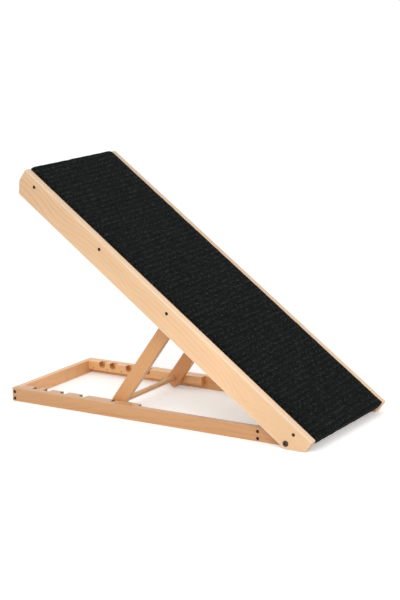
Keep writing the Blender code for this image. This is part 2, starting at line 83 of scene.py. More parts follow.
ACROSS = (0.0, 1.0, 0.0)
LEVEL = (1.0, 0.0, 0.0)
UPRIGHT = (0.0, 0.0, 1.0)


def deck_point(u, y, v):
    """A point of the deck's own frame in the room."""
    return pivot + UP_SLOPE * u + SQUARE * v + Vector((0.0, y, 0.0))


# The camera's place from the foot pivot's X, its angles, and its focal length in the photograph's pixels
CAMERA_PLACE = (1.815008, -3.439347, 1.197596)
CAMERA_YAW, CAMERA_PITCH, CAMERA_ROLL = -0.562496, -0.221302, 0.018712
FOCAL_PIXELS, PICTURE_LONG_SIDE, SENSOR = 1658.532, 600, 36.0


def make_camera():
    """The photograph's camera, solved from the ramp's own edges."""
    yaw, pitch, roll = CAMERA_YAW, CAMERA_PITCH, CAMERA_ROLL
    ahead = Vector(
        (math.cos(pitch) * math.sin(yaw), math.cos(pitch) * math.cos(yaw), math.sin(pitch))
    )
    right = Vector((math.cos(yaw), -math.sin(yaw), 0.0))
    down = ahead.cross(right)
    level_right = right * math.cos(roll) + down * math.sin(roll)
    level_down = down * math.cos(roll) - right * math.sin(roll)
    data = bpy.data.cameras.new("camera")
    data.sensor_width = SENSOR
    data.lens = FOCAL_PIXELS * SENSOR / PICTURE_LONG_SIDE
    camera = bpy.data.objects.new("camera", data)
    turn = Matrix((level_right, -level_down, -ahead)).transposed().to_4x4()
    place = Vector(CAMERA_PLACE) + Vector((pivot.x, 0.0, 0.0))
    camera.matrix_world = Matrix.Translation(place) @ turn
    scene.collection.objects.link(camera)
    scene.camera = camera


# Where Blender's Mix node has its two colours and its result
MIX_COLOURS = (6, 7)
MIX_RESULT = 2

# A noise: its cells a metre along a piece, across it and square to it, its detail and its roughness
Pattern = namedtuple("Pattern", "cells detail roughness")

# How strongly painted highlights lighten a board's long rounded edges and its top
EDGE_HIGHLIGHT = 1.7
TOP_HIGHLIGHT = 0.26

# How uneven the painted shade on a notch's wall is, how sharply it ends and how dark it gets
SHADE_UNEVEN = 0.0010
SHADE_SHARPNESS = 3000.0
SHADE_SHARE = 0.9


class Shader:
    """A short way to build one node material."""

    def __init__(self, name):
        self.material = bpy.data.materials.new(name)
        self.material.use_nodes = True
        self.tree = self.material.node_tree
        self.tree.nodes.clear()
        self.output = self.node("OutputMaterial")
        self.surface = self.node("BsdfPrincipled")
        self.link(self.surface.outputs[0], self.output.inputs["Surface"])

    def link(self, a, b):
        self.tree.links.new(a, b)

    def node(self, kind, **settings):
        made = self.tree.nodes.new("ShaderNode" + kind)
        for key, value in settings.items():
            setattr(made, key, value)
        return made

    def fix(self, values):
        """Sets sockets of the surface itself to plain numbers or colours."""
        for socket, value in values.items():
            self.surface.inputs[socket].default_value = value

    def feed(self, socket, value):
        """Links an output to the socket, or writes a plain value there."""
        if isinstance(value, bpy.types.NodeSocket):
            self.link(value, socket)
        else:
            socket.default_value = value

    def math(self, operation, a, b=None, c=None, clamp=False):
        made = self.node("Math", operation=operation, use_clamp=clamp)
        for socket, value in zip(made.inputs, (a, b, c)):
            if value is not None:
                self.feed(socket, value)
        return made.outputs[0]

    def coordinates(self, along, across, offset=(0.0, 0.0, 0.0)):
        """Object coordinates turned so that X runs along the piece; across is its Y."""
        along, across = Vector(along).normalized(), Vector(across).normalized()
        turn = Matrix((along, across, along.cross(across)))
        mapping = self.node("Mapping")
        self.link(self.node("TexCoord").outputs["Object"], mapping.inputs["Vector"])
        mapping.inputs["Rotation"].default_value = turn.to_euler("XYZ")
        mapping.inputs["Location"].default_value = offset
        return mapping.outputs[0]

    def parts(self, vector):
        split = self.node("SeparateXYZ")
        self.link(vector, split.inputs[0])
        return tuple(split.outputs)

    def noise(self, vector, pattern):
        """The pattern's noise at that place: from 0 to 1, and mostly near 0.5."""
        mapping = self.node("Mapping")
        self.link(vector, mapping.inputs["Vector"])
        mapping.inputs["Scale"].default_value = pattern.cells
        made = self.node("TexNoise")
        self.link(mapping.outputs[0], made.inputs["Vector"])
        made.inputs["Scale"].default_value = 1.0
        made.inputs["Detail"].default_value = pattern.detail
        made.inputs["Roughness"].default_value = pattern.roughness
        return made.outputs["Fac"]

    def levels(self, value, stops):
        """A ramp of greys; each stop is a place and a level."""
        made = self.node("ValToRGB")
        elements = made.color_ramp.elements
        while len(elements) < len(stops):
            elements.new(0.5)
        for element, (place, level) in zip(elements, stops):
            element.position = place
            element.color = (level, level, level, 1.0)
        self.feed(made.inputs["Fac"], value)
        return made.outputs["Color"]

    def mix(self, share, a, b, blend="MIX"):
        made = self.node("Mix", data_type="RGBA", blend_type=blend)
        self.feed(made.inputs["Factor"], share)
        for number, value in zip(MIX_COLOURS, (a, b)):
            if isinstance(value, tuple):
                value = (*value, 1.0)
            self.feed(made.inputs[number], value)
        return made.outputs[MIX_RESULT]

    def times(self, colour, shade):
        return self.mix(1.0, colour, shade, "MULTIPLY")

    def bump(self, height, strength, distance):
        made = self.node("Bump")
        made.inputs["Strength"].default_value = strength
        made.inputs["Distance"].default_value = distance
        self.link(height, made.inputs["Height"])
        self.link(made.outputs[0], self.surface.inputs["Normal"])

    def facing(self, side):
        """How far the surface faces that way: 1 straight towards it, -1 away from it."""
        product = self.node("VectorMath", operation="DOT_PRODUCT")
        self.link(self.node("TexCoord").outputs["Normal"], product.inputs[0])
        product.inputs[1].default_value = side
        return product.outputs["Value"]

    def painted_highlights(self, along):
        """Painted highlights: the long rounded edges and the tops, where light catches them, are painted
        paler.
        """
        runs_across = abs(along[1]) > 0.5
        aside = self.facing(UPRIGHT if runs_across else ACROSS)
        rest = self.math("SUBTRACT", 1.0, self.math("MULTIPLY", aside, aside))
        edge = self.math("MULTIPLY", self.math("ABSOLUTE", aside), self.math("SQRT", rest))
        top = self.math("MULTIPLY", self.math("MAXIMUM", self.facing(UPRIGHT), 0.0), TOP_HIGHLIGHT)
        return self.math("MAXIMUM", self.math("MULTIPLY", edge, EDGE_HIGHLIGHT), top, clamp=True)

    def notch_shade(self, places, uneven):
        """How much painted shade the wood gets: most on the steep walls of the notches at these X, none
        elsewhere.
        """
        texture = self.node("TexCoord")
        x, _, z = self.parts(texture.outputs["Object"])
        below = self.math("MAXIMUM", self.math("SUBTRACT", NOTCH_MIDDLE, z), 0.0)
        nearest = None
        for place in places:
            aside = self.math("SUBTRACT", x, place)
            reach = self.math("MULTIPLY_ADD", aside, aside, self.math("MULTIPLY", below, below))
            reach = self.math("SQRT", reach)
            nearest = reach if nearest is None else self.math("MINIMUM", nearest, reach)
        edge = self.math("MULTIPLY_ADD", uneven, SHADE_UNEVEN, NOTCH_RADIUS)
        inside = self.math("SUBTRACT", edge, nearest)
        on_wall = self.math("MULTIPLY", inside, SHADE_SHARPNESS, clamp=True)
        across_wall = self.parts(texture.outputs["Normal"])[0]
        steep = self.math("MULTIPLY", self.math("ABSOLUTE", across_wall), SHADE_SHARE)
        return self.math("MULTIPLY", on_wall, steep)


# A board's linear colour, its late wood's colour, its roughness and its lacquer's share
Look = namedtuple("Look", "tint late roughness lacquer")
DECK_LOOK = Look((0.83, 0.535, 0.300), (0.62, 0.300, 0.115), 0.42, 0.45)
BASE_LOOK = Look((0.665, 0.345, 0.146), (0.40, 0.160, 0.050), 0.42, 0.45)
# Painted light: a paler copy of the base wood for the far base rail and rack, whose inner faces catch
# the front light
LIT_BASE_LOOK = Look((1.00, 0.560, 0.238), (0.86, 0.34, 0.105), 0.42, 0.45)
LEG_LOOK = Look((0.68, 0.345, 0.132), (0.42, 0.165, 0.046), 0.42, 0.45)
REAR_LOOK = Look((0.860, 0.465, 0.212), (0.52, 0.220, 0.075), 0.42, 0.45)
SIDE_LOOK = Look((0.620, 0.322, 0.140), (0.37, 0.150, 0.048), 0.42, 0.45)
RUDDY_LOOK = Look((0.790, 0.360, 0.140), (0.48, 0.170, 0.048), 0.42, 0.45)
PANEL_LOOK = Look((0.62, 0.42, 0.23), (0.42, 0.24, 0.11), 0.60, 0.0)

# How dark the painted shade in each rack's notches is
NOTCH_SHADES = {"rack_left": (0.050, 0.024, 0.012), "rack_right": (0.46, 0.175, 0.050)}

# Loops in the grain of the rail nearest to the camera: a place from the foot pivot up the slope,
# a length and how far the pith comes up there
SWIRLS = ((0.15, 0.055, -0.024), (0.54, 0.030, -0.012), (0.80, 0.070, -0.016))

# Painted light: how light the deck's rails are painted at places from the foot pivot up the slope, a
# falloff of light put into their colour
NEAR_PAINTED_FALLOFF = ((0.0, 0.94), (0.25, 1.05), (0.95, 0.83))
FAR_PAINTED_FALLOFF = ((0.0, 0.90), (0.95, 0.70))

# The direction of a board's grain and of its width, a seed for its patterns, its look, its pith's place
# across it, its rings' width, how much they show and wander, and its swirls and painted falloff of
# light, if any
Board = namedtuple("Board", "along across seed look pith rings figure swirls fade", defaults=((), ()))
BOARDS = {
    "deck_rail_left": Board(
        UP_SLOPE, SQUARE, 1.0, DECK_LOOK, (0.015, 0.060), 0.0080, 0.85, SWIRLS, NEAR_PAINTED_FALLOFF
    ),
    "deck_rail_right": Board(
        UP_SLOPE, SQUARE, 2.3, DECK_LOOK, (0.024, -0.060), 0.0095, 0.62, (), FAR_PAINTED_FALLOFF
    ),
    "foot_batten": Board(ACROSS, UP_SLOPE, 3.1, BASE_LOOK, (0.05, 0.06), 0.0030, 0.9),
    "leg_batten": Board(ACROSS, UP_SLOPE, 4.1, BASE_LOOK, (0.05, 0.03), 0.0030, 0.9),
    "middle_batten": Board(ACROSS, UP_SLOPE, 5.1, BASE_LOOK, (0.05, 0.00), 0.0030, 0.9),
    "top_batten": Board(ACROSS, UP_SLOPE, 6.1, BASE_LOOK, (0.05, -0.03), 0.0030, 0.9),
    "base_rail_left": Board(LEVEL, UPRIGHT, 7.7, SIDE_LOOK, (0.03, 0.04), 0.0026, 0.6),
    "base_rail_right": Board(LEVEL, UPRIGHT, 8.9, LIT_BASE_LOOK, (0.03, -0.04), 0.0030, 0.7),
    "rear_rail": Board(ACROSS, UPRIGHT, 10.3, REAR_LOOK, (0.06, 0.02), 0.0030, 0.8),
    "front_rail": Board(ACROSS, UPRIGHT, 11.9, BASE_LOOK, (0.05, -0.03), 0.0034, 0.8),
    "rack_left": Board(LEVEL, UPRIGHT, 13.1, BASE_LOOK, (0.04, 0.03), 0.0030, 0.8),
    "rack_right": Board(LEVEL, UPRIGHT, 14.6, LIT_BASE_LOOK, (0.05, -0.03), 0.0030, 0.6),
    "leg_left": Board(SQUARE, UP_SLOPE, 16.2, LEG_LOOK, (0.02, 0.03), 0.0034, 1.0),
    "leg_right": Board(SQUARE, UP_SLOPE, 17.5, RUDDY_LOOK, (-0.02, 0.03), 0.0034, 1.0),
    "leg_rod": Board(ACROSS, UPRIGHT, 19.2, LEG_LOOK, (0.02, 0.01), 0.0024, 0.7),
    "deck_panel": Board(ACROSS, UP_SLOPE, 21.0, PANEL_LOOK, (0.30, 0.06), 0.0060, 0.9),
}

# The wood's noises: how its pith wanders and wavers, how uneven its rings are in their width and in
# their strength, and its fibres, streaks and clouds
WANDER = Pattern((1.5, 5.0, 5.0), 2.0, 0.45)
WAVER = Pattern((7.0, 40.0, 40.0), 2.0, 0.5)
RING_WIDTH = Pattern((2.0, 160.0, 160.0), 1.0, 0.5)
RING_STRENGTH = Pattern((1.1, 12.0, 12.0), 2.0, 0.6)
FIBRE = Pattern((22.0, 900.0, 900.0), 3.0, 0.6)
STREAK = Pattern((3.0, 220.0, 220.0), 3.0, 0.6)
CLOUD = Pattern((3.5, 14.0, 14.0), 2.0, 0.5)

# How far the seed moves a board through the noises, how far the pith wanders and wavers, and how
# much of a ring its width changes
SEED_STEPS = (0.731, 0.377, 0.519)
WANDER_REACH = 0.09
WAVER_REACH = 0.008
RING_UNEVEN = 0.25

# Stops are a place and a level. One ring goes from its early wood to its late wood and back, and an
# end goes from a face along the grain to one cut across it.
RING_STOPS = ((0.0, 0.0), (0.60, 0.12), (0.86, 1.0), (0.93, 0.70), (1.0, 0.0))
STRENGTH_STOPS = ((0.36, 0.06), (0.72, 1.0))
FIBRE_STOPS = ((0.30, 0.93), (0.62, 1.02))
STREAK_STOPS = ((0.42, 0.0), (0.72, 1.0))
CLOUD_STOPS = ((0.30, 0.0), (0.70, 1.0))
END_STOPS = ((0.80, 0.0), (0.96, 0.60))
LATE_SHARE = 0.75
STREAK_SHARE = 0.22

# How much the fibres add to the roughness, and to the relief that the rings make
FIBRE_ROUGHNESS = 0.10
FIBRE_RELIEF = 0.6

# What the light places, the deep places and the painted highlights do to the tint's red, green and blue
LIGHT_SHARES = (1.07, 1.07, 1.07)
DEEP_SHARES = (0.90, 0.83, 0.74)
HIGHLIGHT_SHARES = (1.20, 1.60, 2.35)


def lighter(colour, shares):
    """The colour times the shares, all three held back where its red would pass 1."""
    made = [c * share for c, share in zip(colour, shares)]
    return tuple(c / max(1.0, made[0]) for c in made)


def late_wood(s, board, place, shift):
    """How much late wood shows: rings round a pith that lies off the board and drifts along it."""
    x, y, z = s.parts(place)
    waver = s.math("SUBTRACT", s.noise(place, WAVER), 0.5)
    wander = s.math("SUBTRACT", s.noise(place, WANDER), 0.5)
    off_y = s.math("SUBTRACT", y, shift[1] + board.pith[0])
    off_z = s.math("SUBTRACT", z, shift[2] + board.pith[1])
    off_y = s.math("MULTIPLY_ADD", waver, WAVER_REACH * board.figure, off_y)
    off_z = s.math("MULTIPLY_ADD", wander, WANDER_REACH * board.figure, off_z)
    for middle, length, depth in board.swirls:
        aside = s.math("SUBTRACT", x, PIVOT_ALONG + middle + shift[0])
        aside = s.math("DIVIDE", aside, length)
        bell = s.math("EXPONENT", s.math("MULTIPLY", s.math("MULTIPLY", aside, aside), -1.0))
        off_z = s.math("MULTIPLY_ADD", bell, depth, off_z)
    square_y = s.math("MULTIPLY", off_y, off_y)
    radius = s.math("SQRT", s.math("MULTIPLY_ADD", off_z, off_z, square_y))
    uneven = s.noise(place, RING_WIDTH)
    phase = s.math("MULTIPLY_ADD", uneven, RING_UNEVEN, s.math("DIVIDE", radius, board.rings))
    band = s.levels(s.math("FRACT", phase), RING_STOPS)
    strength = s.levels(s.noise(place, RING_STRENGTH), STRENGTH_STOPS)
    return s.math("MULTIPLY", s.math("MULTIPLY", band, strength), LATE_SHARE * board.figure)


def make_wood(name, board, notches=()):
    """Clear-lacquered pine with growth rings, streaks and end grain; painted highlights on its edges and
    tops, a painted falloff of light along the deck's rails, and painted shade in its notches.
    """
    tint, late, roughness, lacquer = board.look
    s = Shader(name + "_wood")
    shift = tuple(board.seed * step for step in SEED_STEPS)
    place = s.coordinates(board.along, board.across, shift)
    rings = late_wood(s, board, place, shift)
    fibre, streak = s.noise(place, FIBRE), s.noise(place, STREAK)
    clouds = s.levels(s.noise(place, CLOUD), CLOUD_STOPS)
    base = s.mix(clouds, tint, lighter(tint, LIGHT_SHARES))
    streaks = s.math("MULTIPLY", s.levels(streak, STREAK_STOPS), STREAK_SHARE)
    deep = tuple(c * share for c, share in zip(tint, DEEP_SHARES))
    base = s.mix(rings, s.mix(streaks, base, deep), late)
    base = s.times(base, s.levels(fibre, FIBRE_STOPS))
    # Painted highlights: paler colour on the long edges and the tops
    base = s.mix(s.painted_highlights(board.along), base, lighter(tint, HIGHLIGHT_SHARES))
    ends = s.levels(s.math("ABSOLUTE", s.facing(board.along)), END_STOPS)
    base = s.mix(ends, base, late)
    # Painted light: the rails' colour is lightened and darkened along the slope, darkest at the upper
    # end
    if board.fade:
        run = s.math("SUBTRACT", s.parts(place)[0], PIVOT_ALONG + shift[0])
        base = s.times(base, s.levels(run, board.fade))
    if notches:
        # Painted shade: the notches' steep walls are darkened where shade falls in them
        base = s.mix(s.notch_shade(notches, streak), base, NOTCH_SHADES[name])
    s.link(base, s.surface.inputs["Base Color"])
    rough = s.math("MULTIPLY_ADD", fibre, FIBRE_ROUGHNESS, roughness)
    s.link(rough, s.surface.inputs["Roughness"])
    s.fix({"Specular IOR Level": 0.42, "Coat Weight": lacquer, "Coat Roughness": 0.22})
    s.bump(s.math("MULTIPLY_ADD", fibre, FIBRE_RELIEF, rings), strength=0.20, distance=0.0004)
    return s.material


# The angle above which a CAD edge stays sharp, and the distance at which its corners are joined
SHARP_ANGLE = math.radians(40)
WELD_DISTANCE = 0.00001


def finish_node(name, material):
    """Gives a CAD node its material, and soft normals over its rounded edges."""
    piece = nodes[name]
    piece.data.materials.clear()
    piece.data.materials.append(material)
    for face in piece.data.polygons:
        face.use_smooth = True
        face.material_index = 0
    weld = piece.modifiers.new("weld", "WELD")
    weld.merge_threshold = WELD_DISTANCE
    sharp = piece.modifiers.new("sharp", "EDGE_SPLIT")
    sharp.split_angle = SHARP_ANGLE
    sharp.use_edge_sharp = False
    even = piece.modifiers.new("even", "WEIGHTED_NORMAL")
    even.keep_sharp = False


def dress_wood():
    for name, board in BOARDS.items():
        notches = ()
        if name.startswith("rack_"):
            home = nodes[name].matrix_world.translation
            notches = [pivot.x - place - home.x for place in NOTCH_PLACES]
        finish_node(name, make_wood(name, board, notches))


# A cap on a screw's or bolt's head: its driver's hole, its radius and height, and how far the hole
# reaches from the middle
Cap = namedtuple("Cap", "hole radius height hole_reach")
SCREW_CAP = Cap("cross", 0.0040, 0.00035, 0.0023)
BOLT_CAP = Cap("hexagon", 0.0057, 0.00040, 0.0028)
CAP_SIDES = 32

# How far a cap stands off its head, how far its edge slopes in for its height, half a cross arm's
# width for its length, and the turn in radians from one node to the next
CAP_SEAT = 0.00003
CAP_SLOPE = 1.5
CROSS_ARM = 0.22
CAP_TURN = 0.7


def ring_of_points(reach, count):
    turns = [2 * math.pi * i / count for i in range(count)]
    return [(reach * math.cos(turn), reach * math.sin(turn)) for turn in turns]


def driver_hole(shape):
    """The driver's hole seen from outside: a cross of four arms, or a hexagon."""
    if shape.hole == "hexagon":
        return ring_of_points(shape.hole_reach, 6)
    long, half = shape.hole_reach, CROSS_ARM * shape.hole_reach
    arm = [(long, -half), (long, half), (half, half)]
    quarters = [(1, 0), (0, 1), (-1, 0), (0, -1)]
    return [(x * c - y * s, x * s + y * c) for c, s in quarters for x, y in arm]


def make_cap(node, shape, body, turn, material):
    """A thin pressed cap with a driver's hole, seated on a CAD head that ends flat."""
    low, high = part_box(node)
    side = math.copysign(1.0, low[1] + high[1])
    face = high[1] if side > 0 else low[1]
    centre = Vector(((low[0] + high[0]) / 2, face + side * CAP_SEAT, (low[2] + high[2]) / 2))
    work = bmesh.new()

    def loop(points, rise):
        made = []
        for x, z in points:
            across = x * math.cos(turn) - z * math.sin(turn)
            up = x * math.sin(turn) + z * math.cos(turn)
            made.append(work.verts.new(centre + Vector((across, side * rise, up))))
        edges = [work.edges.new(pair) for pair in zip(made, made[1:] + made[:1])]
        return made, edges

    hole = driver_hole(shape)
    top_radius = shape.radius - CAP_SLOPE * shape.height
    below = loop(ring_of_points(shape.radius, CAP_SIDES), 0.0)
    above = loop(ring_of_points(top_radius, CAP_SIDES), shape.height)
    hole_below, hole_above = loop(hole, 0.0), loop(hole, shape.height)
    for (lower, _), (upper, _) in ((below, above), (hole_below, hole_above)):
        for corners in zip(lower, lower[1:] + lower[:1], upper[1:] + upper[:1], upper):
            work.faces.new(corners)
    for outside, inside in ((below, hole_below), (above, hole_above)):
        bmesh.ops.triangle_fill(work, use_beauty=True, edges=outside[1] + inside[1])
    bmesh.ops.recalc_face_normals(work, faces=work.faces)
    mesh = bpy.data.meshes.new(node + "_cap")
    work.to_mesh(mesh)
    work.free()
    mesh.materials.append(material)
    cap = bpy.data.objects.new(node + "_cap", mesh)
    scene.collection.objects.link(cap)
    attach(cap, body)


# A metal's linear colour, the colour of its worn places, its roughness and how metallic it is
Metal = namedtuple("Metal", "colour worn roughness metallic")
METALS = {
    "browned_recess": Metal((0.010, 0.008, 0.007), (0.026, 0.019, 0.015), 0.6, 0.3),
    "browned_screw": Metal((0.016, 0.012, 0.010), (0.055, 0.038, 0.030), 0.5, 0.4),
    "browned_bolt": Metal((0.040, 0.028, 0.021), (0.085, 0.062, 0.048), 0.5, 0.4),
    "dull_nail": Metal((0.075, 0.058, 0.048), (0.160, 0.130, 0.110), 0.5, 0.5),
    "zinc_plate": Metal((0.50, 0.50, 0.50), (0.66, 0.66, 0.65), 0.38, 0.95),
}

# Its noises: its mottles, with the stops for its worn places, and its fine scratches
MOTTLE = Pattern((300.0, 300.0, 300.0), 4.0, 0.6)
MOTTLE_STOPS = ((0.35, 0.0), (0.70, 1.0))
SCRATCHES = Pattern((2500.0, 300.0, 900.0), 2.0, 0.5)

# How much smoother a metal is between its mottles, and how much rougher they make it
METAL_SMOOTHER = 0.1
MOTTLE_ROUGHNESS = 0.25


def make_metal(name):
    metal = METALS[name]
    s = Shader(name)
    place = s.node("TexCoord").outputs["Object"]
    mottle = s.noise(place, MOTTLE)
    base = s.mix(s.levels(mottle, MOTTLE_STOPS), metal.colour, metal.worn)
    s.link(base, s.surface.inputs["Base Color"])
    smoothest = metal.roughness - METAL_SMOOTHER
    rough = s.math("MULTIPLY_ADD", mottle, MOTTLE_ROUGHNESS, smoothest)
    s.link(rough, s.surface.inputs["Roughness"])
    s.fix({"Metallic": metal.metallic})
    s.bump(s.noise(place, SCRATCHES), strength=0.15, distance=0.0002)
    return s.material


def dress_metal():
    recess, screw, bolt, nail, zinc = [make_metal(name) for name in METALS]
    for number, name in enumerate(sorted(nodes)):
        turn = CAP_TURN * number
        if name.startswith("hinge_"):
            finish_node(name, zinc)
        elif name.startswith("rack_nail"):
            finish_node(name, nail)
        elif name.startswith("pivot_nut"):
            finish_node(name, bolt)
        elif name.startswith("pivot_bolt"):
            finish_node(name, recess)
            make_cap(name, BOLT_CAP, "base", turn, bolt)
        elif "screw" in name:
            finish_node(name, recess)
            make_cap(name, SCREW_CAP, "deck" if "batten" in name else "base", turn, screw)


# The carpet's cross rows: their distance up the slope, and how far they lean for a metre across
RIB = 0.0073
ROW_LEAN = -0.035

# Its noises: its yarn, its tufts and their clumps, its worn patches, and how its rows drift
YARN = Pattern((900.0, 420.0, 900.0), 3.0, 0.65)
TUFTS = Pattern((230.0, 230.0, 230.0), 2.0, 0.5)
CLUMPS = Pattern((190.0, 190.0, 190.0), 1.0, 0.5)
WORN_PATCHES = Pattern((9.0, 7.0, 9.0), 3.0, 0.55)
DRIFT = Pattern((14.0, 6.0, 14.0), 2.0, 0.5)
ROW_DRIFT = 0.007

# What they and the rows do to its colour, as stops of a place and a level
YARN_STOPS = ((0.32, 0.0), (0.68, 1.0))
FLECK_STOPS = ((0.535, 0.0), (0.63, 1.0))
CLUMP_STOPS = ((0.38, 0.28), (0.62, 1.22))
PATCH_STOPS = ((0.3, 0.86), (0.7, 1.12))
ROW_STOPS = ((0.0, 0.60), (1.0, 1.18))
FINE_ROW_STOPS = ((0.0, 0.74), (1.0, 1.10))

# Its linear colours, how far a fleck covers the yarn, and how many more flecks the rows have
YARN_DARK = (0.0010, 0.0013, 0.0014)
YARN_LIGHT = (0.0038, 0.0047, 0.0049)
FLECK_COLOUR = (0.0232, 0.0266, 0.0276)
FLECK_SHARE = 0.85
FLECKS_ON_ROWS = 0.05

# How high its clumps and tufts stand beside the yarn
CLUMP_RELIEF = 0.6
TUFT_RELIEF = 0.8


def make_carpet_material():
    """Black ribbed carpet: matted fibres in cross rows, with paler flecks and worn patches."""
    s = Shader("carpet_fibre")
    place = s.coordinates(UP_SLOPE, ACROSS)
    yarn, tufts, clumps = s.noise(place, YARN), s.noise(place, TUFTS), s.noise(place, CLUMPS)
    up, across, _ = s.parts(place)
    along = s.math("MULTIPLY_ADD", across, ROW_LEAN, up)
    along = s.math("MULTIPLY_ADD", s.noise(place, DRIFT), ROW_DRIFT, along)

    def waves(length):
        """Rows at that distance, from 0 between them to 1 on them."""
        wave = s.math("SINE", s.math("MULTIPLY", along, 2 * math.pi / length))
        return s.math("MULTIPLY_ADD", wave, 0.5, 0.5)

    rows, fine = waves(2 * RIB), waves(RIB)
    tone = s.mix(s.levels(yarn, YARN_STOPS), YARN_DARK, YARN_LIGHT)
    flecks = s.levels(s.math("MULTIPLY_ADD", rows, FLECKS_ON_ROWS, tufts), FLECK_STOPS)
    tone = s.mix(s.math("MULTIPLY", flecks, FLECK_SHARE), tone, FLECK_COLOUR)
    tone = s.times(tone, s.levels(clumps, CLUMP_STOPS))
    tone = s.times(tone, s.levels(rows, ROW_STOPS))
    tone = s.times(tone, s.levels(fine, FINE_ROW_STOPS))
    tone = s.times(tone, s.levels(s.noise(place, WORN_PATCHES), PATCH_STOPS))
    s.link(tone, s.surface.inputs["Base Color"])
    s.fix({"Roughness": 0.95, "Specular IOR Level": 0.05})
    s.fix({"Sheen Weight": 0.02, "Sheen Roughness": 0.6})
    height = s.math("MULTIPLY_ADD", clumps, CLUMP_RELIEF, yarn)
    height = s.math("MULTIPLY_ADD", tufts, TUFT_RELIEF, height)
    s.bump(height, strength=0.8, distance=0.0009)
    return s.material


# The carpet's mesh: its columns with a few more near each edge, its rows on top and round each
# bend, and its rows' distance in the folds and on the panel's ends
COLUMNS = 44
EDGE_STEPS = (0.0012, 0.0028, 0.0052)
ROWS_PER_RIB = 6
ROWS_PER_BEND = 6
FLAP_STEP = 0.002
WALL_STEP = 0.001
CREASE_ANGLE = math.radians(60)

# Its edges: how far they clear the rails between them, how far they lie over the rails' rounded
# edges on top, over how many rows they go from the one to the other, and how far under the top a
# row still counts as on it
EDGE_CLEAR = 0.0004
MAT_OVERLAP = 0.0020
OVERLAP_ROWS = 5
LEVEL_SLACK = 0.00001

# Its surface: the heights of its ribs, pairs of ribs, tufts and humps, how far its two sides lie
# within the CAD mat's, and how far down and how near its edges it is rounded
RIB_HEIGHT = 0.00006
PAIR_HEIGHT = 0.00009
TUFT_HEIGHT = 0.00016
HUMP_HEIGHT = 0.00030
OUTER_SINK = 0.0004
INNER_SINK = 0.0001
EDGE_DROP = 0.0030
EDGE_REACH = 0.0050

# Its random heights: their seed, and the cells along and across the whole carpet of the ribs'
# wobble, of how clearly they show and of the humps; a tuft's cell is counted in rows
HEIGHT_SEED = 7
WOBBLE_CELLS = (60, 5)
CLEAR_CELLS = (30, 9)
HUMP_CELLS = (70, 20)
ROWS_PER_TUFT = 3

# How far the ribs wobble, and how clearly they show: mostly, how much more or less, and at least
RIB_WOBBLE = 0.0022
CLEAR_MOSTLY, CLEAR_SPREAD, CLEAR_LEAST = 0.6, 0.5, 0.1


def smooth_noise(rng, rows, columns, cells_u, cells_y):
    """Repeatable soft noise on a grid, from a coarse grid of random heights."""
    coarse = rng.standard_normal((cells_u + 3, cells_y + 3))
    u = np.linspace(0, cells_u, rows)
    y = np.linspace(0, cells_y, columns)
    iu, iy = np.floor(u).astype(int), np.floor(y).astype(int)
    fu, fy = (u - iu)[:, None], (y - iy)[None, :]
    fu, fy = fu * fu * (3 - 2 * fu), fy * fy * (3 - 2 * fy)
    a, b = coarse[iu][:, iy], coarse[iu + 1][:, iy]
    c, d = coarse[iu][:, iy + 1], coarse[iu + 1][:, iy + 1]
    return (a * (1 - fu) + b * fu) * (1 - fy) + (c * (1 - fu) + d * fu) * fy


def mat_path():
    """The mat's outer line in u and v, from under the foot end over the top to under the upper end."""
    bend = MAT_BEND
    low = MAT_HIGH - MAT_THICK * 2 - PANEL_THICK - 2 * GAP
    foot, top = DECK_FOOT, DECK_FOOT + DECK_LENGTH
    points = []

    def line(a, b, step):
        count = max(1, round((Vector(b) - Vector(a)).length / step))
        for i in range(count):
            points.append(Vector(a).lerp(Vector(b), i / count))

    def corner(centre, start, end):
        for i in range(ROWS_PER_BEND):
            angle = math.radians(start + (end - start) * i / ROWS_PER_BEND)
            points.append(Vector(centre) + Vector((math.cos(angle), math.sin(angle))) * bend)

    line((foot + MAT_FLAP, low), (foot + bend, low), FLAP_STEP)
    corner((foot + bend, low + bend), 270, 180)
    line((foot, low + bend), (foot, MAT_HIGH - bend), WALL_STEP)
    corner((foot + bend, MAT_HIGH - bend), 180, 90)
    line((foot + bend, MAT_HIGH), (top - bend, MAT_HIGH), RIB / ROWS_PER_RIB)
    corner((top - bend, MAT_HIGH - bend), 90, 0)
    line((top, MAT_HIGH - bend), (top, low + bend), WALL_STEP)
    corner((top - bend, low + bend), 0, -90)
    line((top - bend, low), (top - MAT_FLAP, low), FLAP_STEP)
    points.append(Vector((top - MAT_FLAP, low)))
    return points


def pile_heights(run, ys, half):
    """How high the pile stands at each row and column over the CAD mat's top."""
    rows, columns = len(run), len(ys)
    rng = np.random.default_rng(HEIGHT_SEED)
    wobble = smooth_noise(rng, rows, columns, *WOBBLE_CELLS) * RIB_WOBBLE
    phase = (run[:, None] + (wobble + ROW_LEAN * ys[None, :])) / RIB
    clear = CLEAR_MOSTLY + CLEAR_SPREAD * smooth_noise(rng, rows, columns, *CLEAR_CELLS)
    clear = np.clip(clear, CLEAR_LEAST, 1.0)
    ribs = np.cos(phase * 2 * math.pi) * clear
    pairs = np.cos(phase * math.pi) * clear
    tufts = smooth_noise(rng, rows, columns, rows // ROWS_PER_TUFT, columns)
    humps = smooth_noise(rng, rows, columns, *HUMP_CELLS)
    height = RIB_HEIGHT * ribs + PAIR_HEIGHT * pairs + TUFT_HEIGHT * tufts
    height = height + HUMP_HEIGHT * humps - OUTER_SINK
    from_edge = (1 - np.abs(ys)[None, :] / half) * half
    return height - EDGE_DROP * np.exp(-from_edge / EDGE_REACH)


